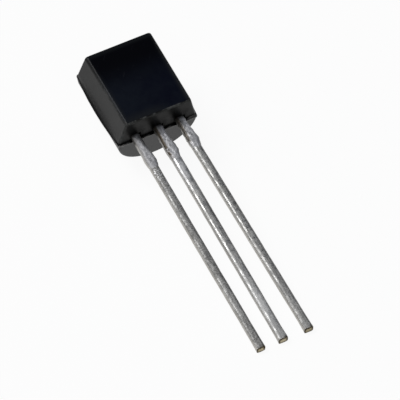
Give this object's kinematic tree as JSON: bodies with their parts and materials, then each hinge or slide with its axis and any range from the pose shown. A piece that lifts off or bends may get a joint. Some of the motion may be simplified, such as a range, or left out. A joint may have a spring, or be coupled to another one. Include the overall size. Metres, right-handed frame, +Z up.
{
  "type": "to-92 transistor",
  "caption": "Small through-hole transistor: black moulded half-round body with a flat face, on long straight tinned leads, lying flat side up.",
  "frame": {"origin": "centre of the bounding box at its lowest height, on the surface that the part lies on", "axes": "+Z up, out through the flat face as the part lies; +Y from the lead tips to the top of the body; +X from the emitter lead to the collector lead"},
  "size_m": [0.0048, 0.0186, 0.0044],
  "materials": {
    "black_epoxy": "moulded epoxy, satin on the flat face and finely matt elsewhere",
    "tinned_copper": "tin-dipped copper with drawn streaks, bare copper alloy at the cut tips",
    "silicon": "polished",
    "die_solder": "soldered",
    "bond_gold": "drawn wire"
  },
  "bodies": {
    "root": {"epoxy_body": "black_epoxy", "emitter_lead": "tinned_copper", "base_lead": "tinned_copper", "collector_lead": "tinned_copper", "silicon_die": "silicon", "die_attach": "die_solder", "emitter_bond_wire": "bond_gold", "base_bond_wire": "bond_gold"}
  },
  "joints": []
}
